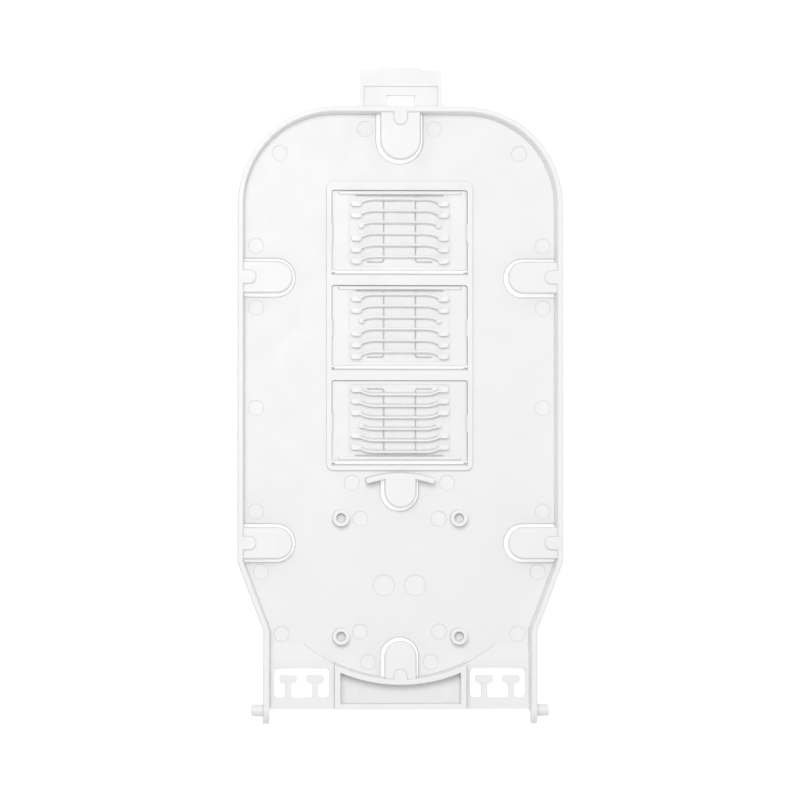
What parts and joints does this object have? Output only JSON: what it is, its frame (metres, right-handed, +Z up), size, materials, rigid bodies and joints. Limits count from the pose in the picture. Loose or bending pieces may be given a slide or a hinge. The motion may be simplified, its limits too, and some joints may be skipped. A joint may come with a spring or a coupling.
{
  "type": "fibre splice tray",
  "caption": "Hinged fibre splice tray in white plastic with a rounded end, retaining tabs, tie-down entries, latch tab and clip-in splice holders",
  "frame": {"origin": "centre of the underside, on the plane the tray rests on", "axes": "+X across the tray, +Y from the hinge arms to the latch tab, +Z up out of the open side"},
  "size_m": [0.11, 0.2218, 0.0092],
  "materials": {
    "tray_plastic": "satin white ABS",
    "holder_plastic": "satin white, slightly brighter"
  },
  "bodies": {
    "root": {"tray": "tray_plastic", "splice_holder_upper": "holder_plastic", "splice_holder_middle": "holder_plastic", "splice_holder_lower": "holder_plastic"}
  },
  "joints": []
}
